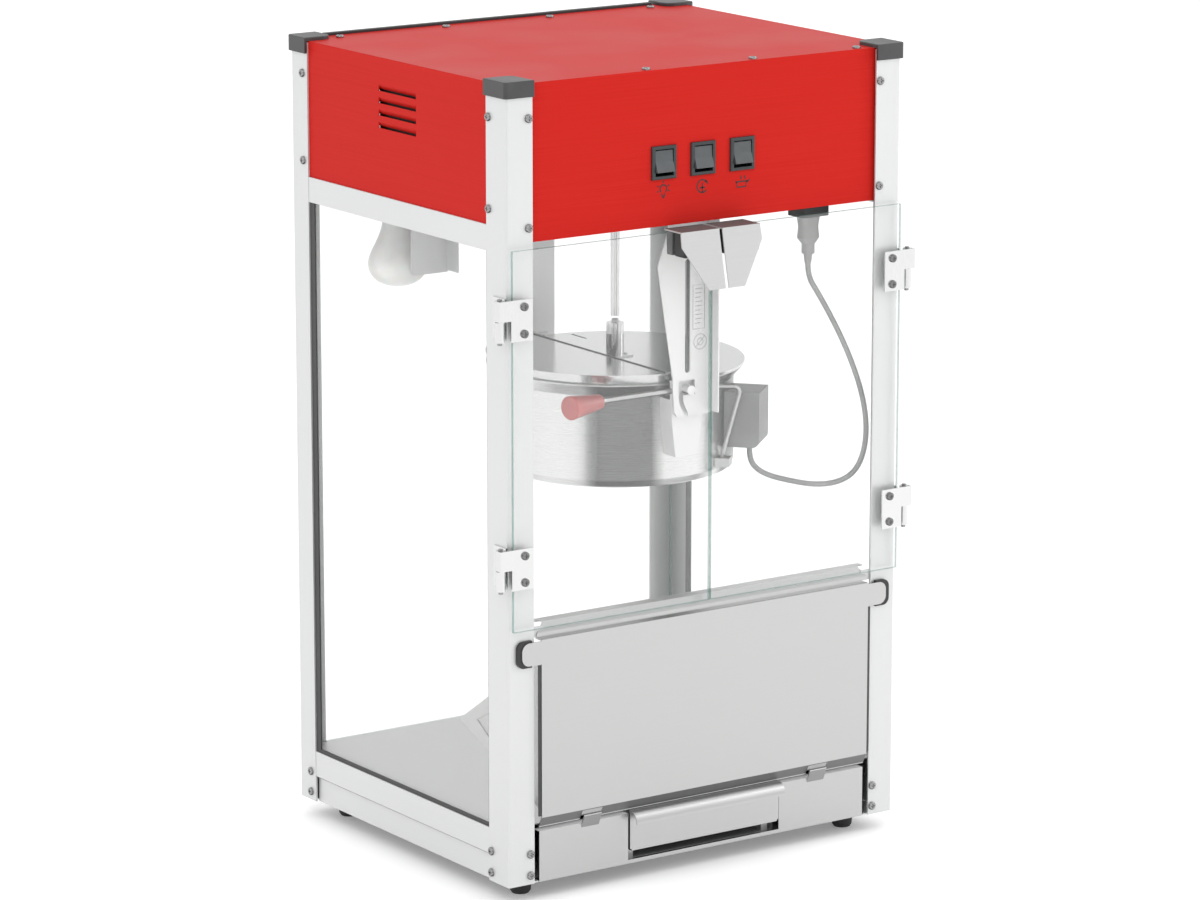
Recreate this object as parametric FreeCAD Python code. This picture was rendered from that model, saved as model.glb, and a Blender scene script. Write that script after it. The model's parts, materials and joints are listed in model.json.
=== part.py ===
"""Counter-top popcorn machine: glass cabinet on a steel base with a red canopy.

A tilting kettle hangs between two arms under the canopy. A gearmotor above
the ceiling turns its stirrer. Two glass doors, a tilt-out front panel and a
kernel drawer open at the front.

Units are millimetres. The model is drawn in the cabinet's frame: X to the
right, Y to the back, Z up, with Z = 0 at the bottom of the corner posts.
Every solid is moved at the end, so that the origin is the bottom centre of
the whole machine's bounding box.
"""
import FreeCAD, Part
import math
import os

V = FreeCAD.Vector

# ---------------------------------------------------------------- dimensions
CAB_W = 500.0            # across the outer faces of the corner posts
CAB_D = 415.0            # front face to back face of the corner posts
POST_H = 838.5           # length of a corner post
POST_T = 2.0             # thickness of the post angle
LEG_FRONT = 32.0         # width of a post's leg on the front or back face
LEG_SIDE_F = 37.0        # width of a front post's leg on the side face
LEG_SIDE_B = 32.0        # width of a back post's leg on the side face
POST_ROUND = 2.5         # rounding of the post's outer corner
SHEET = 1.2              # thickness of the sheet-steel panels

FOOT_H = 20.0
FOOT_R = 11.0
FOOT_X = 211.0
FOOT_Y = 170.0

BASE_H = 57.0            # top of the base and underside of the side glass
RAIL_CREASE = 29.0       # height at which the base side rail steps in
CANOPY_SIDE_Z = 694.0    # lower edge of the canopy's side and back panels
CANOPY_FRONT_Z = 677.0   # lower edge of the canopy's front panel
TOP_RAIL_Z = 667.0       # lower edge of the top side rails
TOP_Z = 840.0            # top face of the red cover
CEILING_Z = 690.0        # underside of the ceiling plate
CAP_H = 4.0              # height of a post cap above the cover
CAP_SKIRT = 13.0         # how far a cap's skirt reaches down the post
CAP_WALL = 3.0

GLASS_T = 4.0
DOOR_T = 5.0
DOOR_GAP = 3.0           # from the post's face to the back of a door
DOOR_Z0 = 274.7
DOOR_Z1 = 672.0
DOOR_EDGE = 247.4        # outer edge of a door, from the centre line
DOOR_SPLIT = 1.0         # half of the gap between the doors

HINGE_Z = (320.0, 579.5)         # lower end of each hinge plate
HINGE_H = 43.0
HINGE_X = 260.0          # pin axis, from the centre line
KNUCKLE_R = 5.0
PIN_R = 2.5
RUN = 0.05               # radial clearance of a running fit

PIVOT_X = 15.0           # kettle tilt axis
PIVOT_Z = 488.0
PIVOT_R = 5.0
KETTLE_X = 27.0          # kettle centre line, over which the shaft runs
KETTLE_R = 128.0
KETTLE_Z0 = 378.5
POT_R = 118.0
POT_Z0 = 408.0
LID_R = 140.0
LID_Z = 496.0
FLAP_X = 8.0             # hinge line of the lid's loose half
FLAP_PIN_Z = LID_Z + 5.0
ARM_Y = 152.0            # inner face of each hanger arm
ARM_T = 1.5
SHAFT_R = 5.0
STIRRER_R = 4.0
SHAFT_END_Z = 541.0      # lower end of the drive shaft
STIRRER_TOP_Z = 538.0

BOX_ANGLE = -48.0        # where the kettle's junction box sits, from +X
CORD_D = 6.0

PANEL_Y = -212.0         # outer face of the tilt-out panel
PANEL_HINGE = (-205.0, 60.0)     # Y and Z of its lower edge, on which it tilts
PANEL_TOP_Z = 262.0
PANEL_HALF = 211.5
DRAWER_HALF = 97.0
DRAWER_Y = -207.5        # outer face of the drawer front
DRAWER_DEPTH = 235.0

SWITCH_X = (-53.0, -3.5, 46.5)
SWITCH_Z = 743.5
ROCKER_TILT = 12.0       # a rocker's lean at rest, in degrees

SCREW_R = 4.4
SCREW_H = 2.4

HALF_W = CAB_W / 2
HALF_D = CAB_D / 2
FRONT = -HALF_D
BACK = HALF_D
PANEL_IN = POST_T + 0.2          # how far a panel sits behind the post's face
AXES = {"X": V(1, 0, 0), "Y": V(0, 1, 0), "Z": V(0, 0, 1)}

NODES = {}               # node name -> list of solids


# ------------------------------------------------------------------- helpers
def box(x0, x1, y0, y1, z0, z1):
    return Part.makeBox(x1 - x0, y1 - y0, z1 - z0, V(x0, y0, z0))


def rod(radius, start, axis, length):
    return Part.makeCylinder(radius, length, V(*start), AXES.get(axis, axis))


def prism(plane, points, low, high):
    """A straight prism: its outline lies in XY, XZ or YZ."""
    third = ({"X", "Y", "Z"} - set(plane)).pop()
    corners = []
    for a, b in points:
        place = {plane[0]: a, plane[1]: b, third: low}
        corners.append(V(place["X"], place["Y"], place["Z"]))
    face = Part.Face(Part.makePolygon(corners + corners[:1]))
    return face.extrude(AXES[third] * (high - low))


def turned(points, x, y):
    """A ring or disc turned about a vertical axis; points are (radius, Z)."""
    corners = [V(x + r, y, z) for r, z in points]
    face = Part.Face(Part.makePolygon(corners + corners[:1]))
    return face.revolve(V(x, y, 0), V(0, 0, 1), 360)


def mirror_x(shape):
    return shape.mirror(V(0, 0, 0), V(1, 0, 0))


def mirror_y(shape):
    return shape.mirror(V(0, 0, 0), V(0, 1, 0))


def both_sides(shape):
    return [shape, mirror_x(shape)]


def four_corners(shape):
    return both_sides(shape) + both_sides(mirror_y(shape))


def rounded(shape, radius, pick):
    return shape.makeFillet(radius, [e for e in shape.Edges if pick(e)])


def upright(edge):
    """True for a straight vertical edge."""
    ends = edge.Vertexes
    if len(ends) != 2:
        return False
    low, high = ends[0].Point, ends[1].Point
    return abs(low.x - high.x) < 1e-6 and abs(low.y - high.y) < 1e-6


def joined(parts):
    shape = parts[0]
    if len(parts) > 1:
        shape = shape.multiFuse(parts[1:])
    return shape.removeSplitter()


def node(name, *shapes):
    NODES[name] = [s for shape in shapes for s in shape.Solids]


def screw(start, axis):
    """A pan head standing on a face, with a cross recess."""
    direction = AXES[axis[-1]] * (-1 if axis[0] == "-" else 1)
    base = V(*start)
    head = Part.makeCylinder(SCREW_R, SCREW_H, base, direction)
    head = rounded(head, 1.2, lambda e: abs((e.CenterOfMass - base) * direction - SCREW_H) < 1e-6)
    side = AXES["Z"] if abs(direction.z) < 0.5 else AXES["X"]
    other = direction.cross(side)
    for long_way, short_way in ((side, other), (other, side)):
        corner = base + direction * (SCREW_H - 1.0) - long_way * 2.4 - short_way * 0.5
        slot = Part.Face(Part.makePolygon([
            corner,
            corner + long_way * 4.8,
            corner + long_way * 4.8 + short_way,
            corner + short_way,
            corner]))
        head = head.cut(slot.extrude(direction * 2))
    return head


# ---------------------------------------------------------- frame and casing
def angle_post(width, depth):
    """The post at the left front corner, as an angle with legs width and depth."""
    outer = box(-HALF_W, -HALF_W + width, FRONT, FRONT + depth, 0, POST_H)
    inner = box(-HALF_W + POST_T, 0, FRONT + POST_T, 0, -1, POST_H + 1)
    angle = outer.cut(inner)

    def outer_corner(edge):
        point = edge.Vertexes[0].Point
        return upright(edge) and abs(point.x + HALF_W) < 0.01 and abs(point.y - FRONT) < 0.01
    return rounded(angle, POST_ROUND, outer_corner)


def corner_posts():
    front = angle_post(LEG_FRONT, LEG_SIDE_F)
    back = mirror_y(angle_post(LEG_FRONT, LEG_SIDE_B))
    node("corner_posts", *both_sides(front), *both_sides(back))


def post_cap(leg_side):
    """A cap with a thin top and a skirt outside the post's two legs."""
    x0, x1 = -HALF_W - CAP_WALL, -HALF_W + LEG_FRONT + 0.5
    y0, y1 = FRONT - CAP_WALL, FRONT + leg_side + 0.5
    top = box(x0, x1, y0, y1, TOP_Z, TOP_Z + CAP_H)
    skirt = box(x0, x1, y0, y1, TOP_Z - CAP_SKIRT, TOP_Z)
    skirt = skirt.cut(box(-HALF_W, 0, FRONT, 0, 0, TOP_Z + 1))
    cap = joined([top, skirt])

    def corner(edge, x, y):
        point = edge.Vertexes[0].Point
        return upright(edge) and abs(point.x - x) < 0.01 and abs(point.y - y) < 0.01
    cap = rounded(cap, 4.0, lambda e: corner(e, x0, y0))
    cap = rounded(cap, 12.0, lambda e: corner(e, x1, y1))
    return rounded(cap, 1.2, lambda e: abs(e.CenterOfMass.z - TOP_Z - CAP_H) < 0.01)


def post_caps():
    front = post_cap(LEG_SIDE_F)
    back = mirror_y(post_cap(LEG_SIDE_B))
    node("post_caps", *both_sides(front), *both_sides(back))


CANOPY_FRONT_Y = FRONT + 5.0     # outer face of the recessed front panel
CANOPY_BACK_Y = BACK - PANEL_IN


def top_cover():
    cover = box(-HALF_W + 2.2, HALF_W - 2.2, CANOPY_FRONT_Y, CANOPY_BACK_Y, TOP_Z - SHEET, TOP_Z)
    node("top_cover", rounded(cover, 0.8, lambda e: abs(e.CenterOfMass.z - TOP_Z) < 0.01))
    trim = box(-213, 213, BACK - 10, BACK - 3, TOP_Z, TOP_Z + 3.0)
    node("rear_trim", rounded(trim, 1.0, lambda e: abs(e.CenterOfMass.z - TOP_Z - 3.0) < 0.01))


def canopy():
    low = TOP_Z - SHEET
    y0 = CANOPY_FRONT_Y
    wide = HALF_W - PANEL_IN
    face = box(-wide, wide, y0, y0 + SHEET, CANOPY_FRONT_Z, low)
    lip = box(-wide, wide, y0, y0 + 14, low - SHEET, low)
    hem = box(-242, 242, y0, y0 + 10, CANOPY_FRONT_Z, CANOPY_FRONT_Z + SHEET)
    front = joined([face, lip, hem])
    for x in SWITCH_X:
        front = front.cut(box(x - 13.6, x + 13.6, y0 - 5, y0 + 5, SWITCH_Z - 15.1, SWITCH_Z + 15.1))
    node("canopy_front", front)

    side = box(-wide, -wide + SHEET, y0 + 14.2, CANOPY_BACK_Y - SHEET, CANOPY_SIDE_Z, low)
    for row in range(4):
        z = 765.5 + 13.0 * row
        side = side.cut(box(-wide - 1, -wide + 5, -36, 36, z, z + 7.0))
        side = side.fuse(louvre_hood(-wide, z))
    node("canopy_sides", *both_sides(side.removeSplitter()))

    back = box(-wide, wide, CANOPY_BACK_Y - SHEET, CANOPY_BACK_Y, CANOPY_SIDE_Z, low)
    back = back.cut(box(110 - 14.2, 110 + 14.2, BACK - 10, BACK, 729.8, 758.2))
    for row in range(6):
        z = 718 + 13.0 * row
        back = back.cut(box(-150, -70, BACK - 10, BACK, z, z + 5.0))
    node("canopy_back", back)


def louvre_hood(x, z):
    """A hood pressed inward behind a louvre slot, open along its lower edge."""
    outline = [(x, z + 9.0), (x + SHEET, z + 9.0), (x + 5.0, z + 1.5), (x + 4.0, z + 1.5),
               (x, z + 6.5)]
    return prism("XZ", outline, -38, 38)


def ceiling_plate():
    plate = box(-235, 235, -200, 200, CEILING_Z, CEILING_Z + 1.5)
    plate = plate.cut(rod(8.0, (KETTLE_X, 0, CEILING_Z - 1), "Z", 5))
    plate = plate.cut(rod(LAMP_HOLE_R, (LAMP_X, LAMP_Y, CEILING_Z - 1), "Z", 5))
    node("ceiling_plate", plate)


def side_rails():
    y0, y1 = FRONT + LEG_SIDE_F, BACK - LEG_SIDE_B
    x = HALF_W - 0.5
    inner = GLASS_X + GLASS_T + 0.1
    top = prism("XZ", [
        (x, TOP_RAIL_Z), (x, CANOPY_SIDE_Z), (236, CANOPY_SIDE_Z), (236, CANOPY_SIDE_Z - SHEET),
        (x - SHEET, CANOPY_SIDE_Z - SHEET), (x - SHEET, TOP_RAIL_Z + SHEET),
        (inner, TOP_RAIL_Z + SHEET), (inner, TOP_RAIL_Z)], y0, y1)
    node("side_top_rails", *both_sides(top))
    step = x - 3.5
    low = prism("XZ", [
        (x, RAIL_CREASE), (x, BASE_H), (238, BASE_H), (238, BASE_H - SHEET),
        (x - SHEET, BASE_H - SHEET), (x - SHEET, RAIL_CREASE + 1.0),
        (step - SHEET, RAIL_CREASE - 1.5), (step - SHEET, 0), (step, 0), (step, RAIL_CREASE - 2.5)],
        y0, y1)
    node("side_bottom_rails", *both_sides(low))
    half = HALF_W - LEG_FRONT
    y = BACK - 0.5
    back_top = prism("YZ", [
        (y, TOP_RAIL_Z), (y, CANOPY_SIDE_Z), (y - 3, CANOPY_SIDE_Z), (y - 3, CANOPY_SIDE_Z - SHEET),
        (y - SHEET, CANOPY_SIDE_Z - SHEET), (y - SHEET, TOP_RAIL_Z + SHEET),
        (y - 4, TOP_RAIL_Z + SHEET), (y - 4, TOP_RAIL_Z)], -half, half)
    back_low = prism("YZ", [
        (y, 0), (y, BASE_H), (y - 13, BASE_H), (y - 13, BASE_H - SHEET),
        (y - SHEET, BASE_H - SHEET), (y - SHEET, 0)], -half, half)
    node("back_rails", back_top, back_low)


GLASS_X = 242.5          # inner face of the side glass
GLASS_BACK_Y = 198.0     # inner face of the back glass


def cabinet_glass():
    z0, z1 = BASE_H + 0.2, 689.0
    front = CANOPY_FRONT_Y + SHEET + 0.3
    side = box(-GLASS_X - GLASS_T, -GLASS_X, front, GLASS_BACK_Y + GLASS_T, z0, z1)
    node("side_glass", *both_sides(side))
    x = GLASS_X - 0.5
    node("back_glass", box(-x, x, GLASS_BACK_Y, GLASS_BACK_Y + GLASS_T, z0, z1))
    outer = GLASS_X + GLASS_T
    y0, y1 = FRONT + LEG_SIDE_F, BACK - LEG_SIDE_B
    strips = []
    for sign in (-1, 1):
        xs = sorted((sign * outer, sign * (outer + 1.8)))
        strips.append(box(*xs, y0, y1, BASE_H, BASE_H + 4))
        strips.append(box(*xs, y1 - 9, y1, BASE_H + 4, TOP_RAIL_Z))
        strips.append(box(*xs, y0, y0 + 3, BASE_H + 4, TOP_RAIL_Z))
    node("glass_gaskets", *strips)


def sill_rail():
    y = FRONT + 1.0
    sill = prism("YZ", [
        (y, 264), (y, 268), (y + 3.5, 279), (y + 17, 279), (y + 17, 277.8),
        (y + 4.3, 277.8), (y + 1.2, 268.3), (y + 1.2, 264)], -214, 214)
    corner = prism("XZ", [(-215, 266), (-203, 280), (-215, 280)], y - 1, y + 9)
    sill = sill.cut(corner).cut(mirror_x(corner))
    tab = box(-226, -206, FRONT + POST_T, FRONT + POST_T + SHEET, 264, 275)
    node("sill_rail", joined([sill, tab, mirror_x(tab)]))


# ---------------------------------------------------------------------- base
def base():
    y = FRONT + 1.5
    wide = 211.0
    cut = DRAWER_HALF + 1.5
    face = box(-wide, wide, y, y + SHEET, 0, 55)
    lip = box(-wide, wide, y, y + 12, 53.8, 55)
    foot = box(-wide, wide, y, y + 12, 0, SHEET)
    front = joined([face, lip, foot]).cut(box(-cut, cut, y - 5, y + 20, 4, 60))
    tab = prism("YZ", [
        (y + SHEET, 50), (y, 50), (y - 5.5, 63.5), (y - 5.0, 64.5), (y - 4.2, 64), (y + SHEET, 51)],
        136, 158)
    front = joined([front, tab, mirror_x(tab)])
    node("base_front", front)

    floor_y0, floor_y1 = y + 12.2, 205
    pan = [box(-244, 244, floor_y0, floor_y1, 0, 1.5)]
    for sign in (-1, 1):
        track = sorted((sign * 84, sign * 92))
        guide = sorted((sign * 97.5, sign * 98.7))
        pan.append(box(*track, floor_y0, 60, 1.5, 13.7))
        pan.append(box(*guide, floor_y0, 60, 1.5, 30))
        ear = sorted((sign * 212, sign * 244))
        pan.append(box(*ear, FRONT + POST_T, floor_y0, 0, 1.5))
    node("base_pan", joined(pan))

    floor = box(-241.5, 241.5, -190, 197.5, BASE_H + 0.2, BASE_H + 1.4)
    slots = []
    for column in range(9):
        for row in range(5):
            x = -72 + 18 * column
            back = -140 + 34 * row
            slots.append(box(x - 2.5, x + 2.5, back, back + 24, BASE_H - 1, BASE_H + 3))
    node("floor_pan", floor.cut(Part.makeCompound(slots)))

    foot = turned([(0, 0), (0, -FOOT_H), (FOOT_R - 2, -FOOT_H), (FOOT_R, -FOOT_H + 3),
                   (FOOT_R + 1.5, 0)], FOOT_X, FOOT_Y)
    node("rubber_feet", *four_corners(foot))


# ---------------------------------------------------- doors and their hinges
DOOR_BACK = FRONT - DOOR_GAP
DOOR_FACE = DOOR_BACK - DOOR_T
HINGE_Y = FRONT - 2.0
LEAF_T = 1.8


def fixed_hinge(z0):
    """The leaf on the post's side, its lower knuckle and the pin."""
    mid = z0 + HINGE_H / 2 - 0.4
    plate = box(-HALF_W - LEAF_T, -HALF_W, FRONT + 1, FRONT + 24, z0, z0 + HINGE_H)
    strap = box(-HINGE_X, -HALF_W, HINGE_Y + KNUCKLE_R - LEAF_T, HINGE_Y + KNUCKLE_R, z0, mid)
    knuckle = rod(KNUCKLE_R, (-HINGE_X, HINGE_Y, z0), "Z", mid - z0)
    pin = rod(PIN_R, (-HINGE_X, HINGE_Y, z0 - 3), "Z", HINGE_H + 4.5)
    leaf = joined([plate, strap, knuckle]).cut(pin)
    heads = [screw((-HALF_W - LEAF_T, FRONT + 12.5, z0 + dz), "-X") for dz in (7.5, 35.5)]
    return leaf, pin, heads


def door_leaf(z0):
    """The leaf on the glass, with the upper knuckle."""
    mid = z0 + HINGE_H / 2 + 0.4
    top = z0 + HINGE_H
    face = DOOR_FACE
    plate = box(-251, -225, face - LEAF_T, face, z0, top)
    strap = box(-HINGE_X, -250, face - LEAF_T, face, mid, top)
    knuckle = rod(KNUCKLE_R, (-HINGE_X, HINGE_Y, mid), "Z", top - mid)
    bridge = box(-HINGE_X - KNUCKLE_R, -HINGE_X - KNUCKLE_R + LEAF_T, face - LEAF_T, HINGE_Y, mid, top)
    strap = joined([strap, box(-HINGE_X - KNUCKLE_R, -HINGE_X, face - LEAF_T, face, mid, top)])
    leaf = joined([plate, strap, bridge, knuckle])
    bore = rod(PIN_R + RUN, (-HINGE_X, HINGE_Y, z0), "Z", HINGE_H + 5)
    heads = [screw((-235, face - LEAF_T, z0 + dz), "-Y") for dz in (7.5, 35.5)]
    return leaf.cut(bore), heads


def doors():
    leaves, pins, heads = [], [], []
    for z0 in HINGE_Z:
        leaf, pin, screws = fixed_hinge(z0)
        leaves += both_sides(leaf)
        pins += both_sides(pin)
        for head in screws:
            heads += both_sides(head)
    node("hinge_fixed_leaves", *leaves, *heads)
    node("hinge_pins", *pins)

    glass = box(-DOOR_EDGE, -DOOR_SPLIT, DOOR_FACE, DOOR_BACK, DOOR_Z0, DOOR_Z1)
    glass = rounded(glass, 1.0, upright)
    leaf_parts = []
    for z0 in HINGE_Z:
        leaf, screws = door_leaf(z0)
        leaf_parts += [leaf] + screws
    handle = door_handle()
    clip = handle_clip()
    for side, flip in (("left", False), ("right", True)):
        place = mirror_x if flip else (lambda shape: shape)
        node("door_glass_" + side, place(glass))
        node("hinge_leaves_" + side, *[place(s) for s in leaf_parts])
        node("handle_" + side, place(handle))
        node("handle_clip_" + side, place(clip))


HANDLE_TOP_Y = -231.0
HANDLE_LOW_Y = -243.0
HANDLE_Z = (612.5, 672.2)


def door_handle():
    """A bent steel pull: a flange over the door's top edge and a sloping tab."""
    z0, z1 = HANDLE_Z
    t = 1.5
    flange = box(-50, -2, HANDLE_TOP_Y, -200, z1, z1 + t)
    slope = prism("YZ", [
        (HANDLE_TOP_Y, z1 + t), (HANDLE_TOP_Y, z1 - 2), (HANDLE_LOW_Y, z0),
        (HANDLE_LOW_Y + t, z0), (HANDLE_TOP_Y + t, z1 - 2), (HANDLE_TOP_Y + t, z1 + t)], -52, -2)
    outline = prism("XZ", [
        (-2, z0 - 1), (-22, z0 - 1), (-51, z1 - 14), (-50, z1 + 2 * t), (-2, z1 + 2 * t)], -250, -195)
    return joined([flange, slope]).common(outline)


def handle_clip():
    """The rubber-lined block that grips the glass under the pull's flange."""
    z1 = HANDLE_Z[1] - 0.2
    block = prism("YZ", [
        (HANDLE_TOP_Y + 2.2, z1), (HANDLE_TOP_Y - 2.2, z1 - 25), (-201, z1 - 25), (-199.5, z1)],
        -47, -3)
    slot = box(-60, 0, DOOR_FACE, DOOR_BACK, DOOR_Z0, DOOR_Z1)
    return block.cut(slot)


# ------------------------------------------------- tilt-out panel and drawer
def front_panel():
    y0 = PANEL_Y
    wide = PANEL_HALF
    hy, hz = PANEL_HINGE
    bend = 71.0
    face = box(-wide, wide, y0, y0 + SHEET, bend, PANEL_TOP_Z)
    lip = box(-wide, wide, y0, y0 + 12, PANEL_TOP_Z - SHEET, PANEL_TOP_Z)
    band = prism("YZ", [
        (y0, bend + 0.5), (y0, bend), (hy - 0.6, hz - 0.6), (hy + 0.6, hz - 0.2), (y0 + SHEET, bend + 0.5)],
        -wide, wide)
    hem = rod(1.3, (-wide, hy, hz), "X", 2 * wide)
    ear = box(-235.5, -wide, y0, y0 + SHEET, 236, 260.5)

    def tip(edge):
        points = edge.Vertexes
        return (len(points) == 2 and abs(edge.CenterOfMass.x + 235.5) < 0.01
                and abs(edge.CenterOfMass.y - y0 - SHEET / 2) < 0.01)
    ear = rounded(ear, 9.0, tip)
    panel = joined([face, lip, band, hem, ear, mirror_x(ear)])
    for sign in (-1, 1):
        xs = sorted((sign * 134, sign * 160))
        panel = panel.cut(box(*xs, y0 - 1, hy + 5, hz - 2, bend - 1.0))
    wing = prism("YZ", [
        (y0 + SHEET, 74), (y0 + SHEET, 247), (-106, 177), (-50, 140)], 206.8, 208.0)
    for window in ([(-122, 168), (-84, 147), (-138, 112), (-146, 122)],
                   [(-136, 172), (-157, 118), (-180, 102), (-190, 108), (-190, 196)]):
        wing = wing.cut(prism("YZ", window, 200, 215))
    node("front_panel", panel, *both_sides(wing))
    pad = box(-240.5, -222.5, y0 + SHEET, FRONT, 234, 262.5)
    pad = rounded(pad, 8.0, lambda e: abs(e.CenterOfMass.x + 240.5) < 0.01
                  and abs(e.CenterOfMass.y - (y0 + SHEET + FRONT) / 2) < 0.01)
    node("panel_bumpers", *both_sides(pad))


def kernel_drawer():
    y0 = DRAWER_Y
    wide = DRAWER_HALF
    back = y0 + DRAWER_DEPTH
    z0 = 16.0
    face = box(-wide, wide, y0, y0 + SHEET, z0, 46)
    lip_r = 13.0
    cy, cz = y0, 46.0
    outer = rod(lip_r, (-wide, cy, cz), "X", 2 * wide)
    inner = rod(lip_r - SHEET, (-wide, cy, cz), "X", 2 * wide)
    quarter = box(-wide, wide, cy - 20, cy, cz, cz + 20)
    lip = outer.cut(inner).common(quarter)
    riser = box(-wide, wide, y0, y0 + SHEET, 46, 46 + lip_r)
    floor = box(-wide + 2, wide - 2, y0, back, 14.0, 14.0 + SHEET)
    foot = box(-wide + 2, wide - 2, y0, y0 + SHEET, 14.0, z0 + 1)
    rear = box(-wide + 2, wide - 2, back - SHEET, back, 14.0, 48)
    walls = []
    for sign in (-1, 1):
        xs = sorted((sign * (wide - 2), sign * (wide - 2 - SHEET)))
        walls.append(box(*xs, y0, back, 14.0, 48))
    node("kernel_drawer", joined([face, riser, lip, floor, foot, rear] + walls))


# ------------------------------------------------------------------ switches
def switches():
    y = CANOPY_FRONT_Y
    bezels = []
    for name, x in zip(("lamp", "motor", "kettle"), SWITCH_X):
        frame = box(x - 15.5, x + 15.5, y - 2.5, y, SWITCH_Z - 17.5, SWITCH_Z + 17.5)
        frame = rounded(frame, 1.2, lambda e: abs(e.CenterOfMass.y - y + 2.5) < 0.01)
        shell = box(x - 13.5, x + 13.5, y, y + 22, SWITCH_Z - 15, SWITCH_Z + 15)
        well = box(x - 11.5, x + 11.5, y - 5, y + 16, SWITCH_Z - 14, SWITCH_Z + 14)
        bezels.append(joined([frame, shell]).cut(well))
        node("rocker_" + name, rocker(x, y))
    node("switch_bezels", *bezels)


def rocker(x, y):
    """A rocker whose face has two flats that meet at its pivot line."""
    half = 12.0
    cy = y + ROCKER_PIVOT
    rise = 7.5
    top = (cy - rise - 0.4, SWITCH_Z + half)
    bottom = (cy - rise - 0.4, SWITCH_Z - half)
    body = prism("YZ", [
        top, (cy - rise + 1.6, SWITCH_Z), bottom,
        (cy + 3, SWITCH_Z - half + 3.5), (cy + 5, SWITCH_Z), (cy + 3, SWITCH_Z + half - 3.5)],
        x - 11.0, x + 11.0)
    body = rounded(body, 0.8, lambda e: e.CenterOfMass.y < cy - rise + 0.2
                   and abs(e.CenterOfMass.x - x) < 0.01)
    body.rotate(V(x, cy, SWITCH_Z), V(1, 0, 0), -ROCKER_TILT)
    return joined([body, rod(2.0, (x - 11.4, cy, SWITCH_Z), "X", 22.8)])


ROCKER_PIVOT = 4.0       # the rocker's axis, behind the canopy's front face


# ------------------------------------------------- parts under the ceiling
LAMP_X, LAMP_Y = -170.0, 125.0
LAMP_HOLE_R = 21.0


def lamp():
    socket = turned([(0, 652), (20, 652), (20, 706), (0, 706)], LAMP_X, LAMP_Y)
    node("lamp_socket", rounded(socket, 2.0, lambda e: abs(e.CenterOfMass.z - 652) < 0.01))
    outline = Part.BSplineCurve()
    outline.interpolate([V(LAMP_X + r, LAMP_Y, h) for r, h in (
        (0, 576), (13, 577.2), (23, 581.8), (29.5, 589.5), (32, 598.5), (30, 609), (25, 620),
        (20, 631), (17, 641), (16, 652))])
    bulb = Part.Wire([
        outline.toShape(),
        Part.makeLine(V(LAMP_X + 16, LAMP_Y, 652), V(LAMP_X, LAMP_Y, 652)),
        Part.makeLine(V(LAMP_X, LAMP_Y, 652), V(LAMP_X, LAMP_Y, 576))])
    node("lamp_bulb", Part.Face(bulb).revolve(V(LAMP_X, LAMP_Y, 0), V(0, 0, 1), 360))
    y = 88.0
    plate = box(-176, -130, y, y + SHEET, 592, CEILING_Z)
    plate = rounded(plate, 6.0, lambda e: abs(e.CenterOfMass.x + 176) < 0.01
                    and abs(e.CenterOfMass.z - 592) < 0.01)
    cheek = box(-131.2, -130, y - 22, y, 594, CEILING_Z)
    flange = box(-176, -130, y, y + 8, CEILING_Z - SHEET, CEILING_Z)
    node("lamp_guard", joined([plate, cheek, flange]))


OUTLET_X, OUTLET_Y = 173.0, -150.0
OUTLET_Z = 658.0


def outlets():
    body = box(OUTLET_X - 18, OUTLET_X + 18, OUTLET_Y - 14, OUTLET_Y + 14, OUTLET_Z, CEILING_Z)
    node("kettle_outlet", rounded(body, 3.0, upright))
    inlet = box(110 - 14, 110 + 14, BACK - 30, BACK - 1, 730, 758)
    flange = box(110 - 24, 110 + 24, CANOPY_BACK_Y, CANOPY_BACK_Y + 3, 726, 762)
    well = box(110 - 11, 110 + 11, BACK - 20, BACK + 5, 735, 753)
    inlet = joined([inlet, flange]).cut(well)
    for x in (103, 110, 117):
        inlet = inlet.fuse(box(x - 1, x + 1, BACK - 21, BACK - 6, 742, 746))
    node("mains_inlet", inlet.removeSplitter())


def gearmotor():
    gearbox = box(KETTLE_X - 45, KETTLE_X + 45, -42, 42, CEILING_Z + 1.5, 738)
    gearbox = rounded(gearbox, 5.0, upright)
    bore = rod(SHAFT_R + RUN, (KETTLE_X, 0, CEILING_Z), "Z", 36)
    can = rod(33, (KETTLE_X + 6, 0, 738), "Z", 62)
    tail = rod(9, (KETTLE_X + 6, 0, 800), "Z", 6)
    node("gearmotor", joined([gearbox, can, tail]).cut(bore))
    shaft = rod(SHAFT_R, (KETTLE_X, 0, SHAFT_END_Z), "Z", CEILING_Z + 34 - SHAFT_END_Z)
    flat = box(KETTLE_X + 3.8, KETTLE_X + 8, -8, 8, SHAFT_END_Z - 1, SHAFT_END_Z + 14)
    node("drive_shaft", shaft.cut(flat))


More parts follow.
